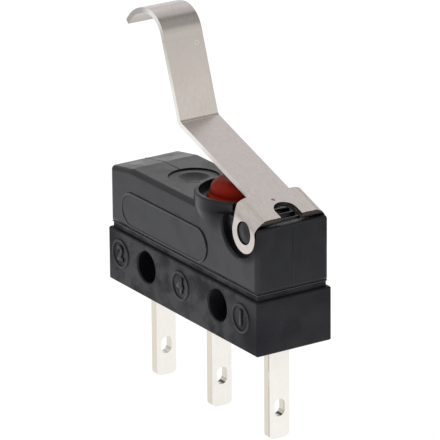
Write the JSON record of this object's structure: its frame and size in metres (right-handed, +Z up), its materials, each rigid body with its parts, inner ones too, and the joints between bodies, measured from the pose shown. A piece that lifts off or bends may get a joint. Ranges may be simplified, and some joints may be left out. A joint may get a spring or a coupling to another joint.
{
  "type": "lever micro switch",
  "caption": "Sealed subminiature changeover switch with a rubber-booted plunger, a long bent lever with a hooked end, flat solder terminals and cross mounting holes.",
  "frame": {"origin": "midway between the two mounting holes, at mid thickness", "axes": "+X from the holes towards the lever's pivot, +Y through the holes to the plain back face, +Z up from the terminals to the lever's hook"},
  "size_m": [0.0198, 0.0064, 0.029],
  "materials": {
    "housing_black": "satin moulded",
    "seal_rubber": "matte",
    "terminal_plate": "silver plated, satin",
    "potting": "cast resin",
    "contact_silver": "satin silver",
    "anchor_brass": "stamped",
    "spring_bronze": "rolled strip",
    "plunger_plastic": "moulded",
    "boot_rubber": "satin moulded",
    "lever_steel": "rolled stainless"
  },
  "bodies": {
    "housing": {"base": "housing_black", "cover": "housing_black", "cover_seal": "seal_rubber", "common_terminal": "terminal_plate", "no_terminal": "terminal_plate", "nc_terminal": "terminal_plate", "common_seal": "potting", "no_seal": "potting", "nc_seal": "potting", "no_contact": "contact_silver", "nc_contact": "contact_silver", "blade_anchor": "anchor_brass", "anchor_rivet": "anchor_brass", "plunger_guide": "plunger_plastic", "plunger_boot": "boot_rubber"},
    "lever": {"lever": "lever_steel"},
    "plunger": {"plunger": "plunger_plastic"},
    "actuator": {"actuating_arm": "spring_bronze"},
    "blade": {"moving_blade": "spring_bronze", "moving_contact": "contact_silver", "snap_spring": "spring_bronze"}
  },
  "joints": [
    {"name": "lever_hinge", "type": "hinge", "parent": "housing", "child": "lever", "pos_m": [0.00804, 0, 0.00644], "axis": [0, -1, 0], "range_deg": [0, 17], "stiffness_Nm_per_rad": 0.006, "springref_deg": -11.46},
    {"name": "plunger_slide", "type": "slide", "parent": "housing", "child": "plunger", "axis": [0, 0, -1], "range_m": [0, 0.00063], "deforming": ["plunger_boot"]},
    {"name": "arm_bend", "type": "hinge", "parent": "housing", "child": "actuator", "pos_m": [0.0068, 0, 0.0041], "axis": [0, -1, 0], "range_deg": [0, 9.1]},
    {"name": "blade_snap", "type": "hinge", "parent": "housing", "child": "blade", "pos_m": [0.0068, 0, 0.00358], "axis": [0, -1, 0], "range_deg": [0, 2.05], "deforming": ["snap_spring"]}
  ],
  "couplings": [
    {"joint": "plunger_slide", "follows": "lever_hinge", "m_per_rad": 0.00209},
    {"joint": "arm_bend", "follows": "lever_hinge", "ratio": 0.5294},
    {"joint": "blade_snap", "follows": "lever_hinge", "ratio": 0.1176}
  ]
}
